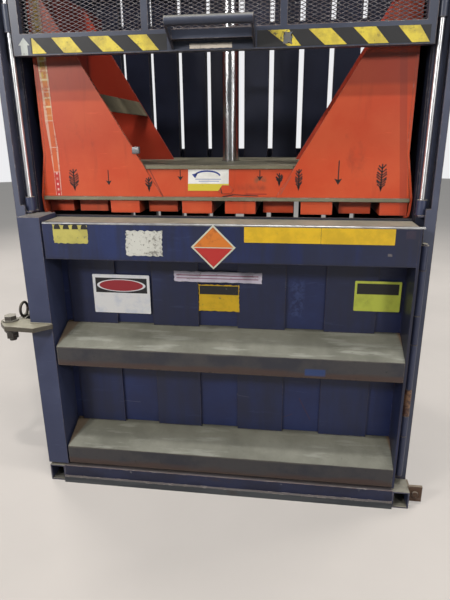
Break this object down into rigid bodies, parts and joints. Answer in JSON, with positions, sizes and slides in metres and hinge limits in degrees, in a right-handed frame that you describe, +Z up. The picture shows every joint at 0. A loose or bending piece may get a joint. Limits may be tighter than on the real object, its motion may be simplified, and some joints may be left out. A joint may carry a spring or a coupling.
{
  "type": "vertical recycling baler",
  "caption": "Upright cardboard baler with a ribbed chamber door, a raised expanded-metal gate, a wedge-sided press platen and a hydraulic ram.",
  "frame": {"origin": "on the floor under the ram's axis, on the underside of the middle base cross member", "axes": "+Z up along the ram, -Y towards the door and the operator, +X to the operator's right, the hinge side of the door"},
  "size_m": [1.906, 1.171, 3.59],
  "materials": {
    "column_paint": "worn blue-grey enamel",
    "navy_paint": "scratched dark blue enamel",
    "stile_paint": "dusty blue enamel",
    "gate_paint": "grey-blue enamel with worn edges",
    "platen_paint": "faded orange enamel with rust",
    "dusty_steel": "dusty bare steel",
    "rib_paint": "dust over chipped blue enamel and rust",
    "floor_steel": "scuffed bare steel",
    "bright_steel": "edge worn bright",
    "rod_chrome": "polished chrome",
    "zinc_steel": "dull zinc",
    "rusty_steel": "rusty steel",
    "motor_paint": "grey enamel",
    "box_paint": "light grey enamel",
    "green_plastic": "gloss",
    "red_plastic": "gloss",
    "placard_sheet": "painted sheet"
  },
  "bodies": {
    "frame": {"base_runners": "navy_paint", "base_cross_members": "navy_paint", "front_sill": "navy_paint", "base_plate": "navy_paint", "chamber_floor": "floor_steel", "runner_side_lug": "dusty_steel", "column_left": "column_paint", "column_right": "column_paint", "side_wall_left": "column_paint", "side_wall_right": "column_paint", "side_stiffeners": "column_paint", "rear_slats": "navy_paint", "rear_rails": "navy_paint", "rear_posts": "column_paint", "header_plate": "column_paint", "head_frame": "column_paint", "latch_keeper": "column_paint", "guide_rods": "rod_chrome", "guide_rod_sockets": "stile_paint", "guide_rod_holders": "column_paint", "cylinder_barrel": "navy_paint", "cylinder_gland": "dusty_steel", "cylinder_bolts": "zinc_steel", "oil_tank": "navy_paint", "pump_motor": "motor_paint", "hydraulic_pump": "dusty_steel", "valve_block": "zinc_steel", "oil_pipes": "zinc_steel", "control_box": "box_paint", "frame_knuckles": "rusty_steel"},
    "platen": {"piston_rod": "rod_chrome", "rod_foot_flange": "rusty_steel", "platen_flange_plate": "dusty_steel", "platen_bars": "platen_paint", "platen_front_panel": "platen_paint", "platen_front_wedges": "platen_paint", "platen_rear_wedges": "platen_paint", "platen_ledge_plate": "dusty_steel", "platen_side_shoes": "platen_paint", "platen_brace": "dusty_steel"},
    "gate": {"gate_frame": "gate_paint", "gate_mesh": "gate_paint", "gate_sleeves": "gate_paint", "gate_handle": "gate_paint"},
    "door": {"latch_lug": "dusty_steel", "latch_bolt": "zinc_steel", "diamond_placard": "placard_sheet", "door_skin": "navy_paint", "door_bands": "navy_paint", "door_top_beam": "navy_paint", "door_wear_strip": "dusty_steel", "door_top_lip": "bright_steel", "door_upper_rib": "rib_paint", "door_lower_rib": "rib_paint", "door_latch_stile": "stile_paint", "door_hinge_side": "stile_paint", "door_knuckles": "stile_paint"},
    "latch": {"latch_hook": "dusty_steel"},
    "start_key": {"start_button": "green_plastic"},
    "stop_key": {"stop_button": "red_plastic"}
  },
  "joints": [
    {"name": "door_hinge", "type": "hinge", "parent": "frame", "child": "door", "pos_m": [0.788, -0.563, 0.6375], "axis": [0, 0, 1], "range_deg": [0, 115]},
    {"name": "latch_swing", "type": "hinge", "parent": "door", "child": "latch", "pos_m": [-0.885, -0.575, 0.7445], "axis": [0, 0, 1], "range_deg": [-5, 100]},
    {"name": "gate_slide", "type": "slide", "parent": "frame", "child": "gate", "axis": [0, 0, 1], "range_m": [-0.585, 0]},
    {"name": "platen_slide", "type": "slide", "parent": "frame", "child": "platen", "axis": [0, 0, 1], "range_m": [-0.56, 0.62]},
    {"name": "start_press", "type": "slide", "parent": "frame", "child": "start_key", "axis": [0, 1, 0], "range_m": [0, 0.005], "stiffness_N_per_m": 600},
    {"name": "stop_press", "type": "slide", "parent": "frame", "child": "stop_key", "axis": [0, 1, 0], "range_m": [0, 0.005], "stiffness_N_per_m": 900}
  ]
}
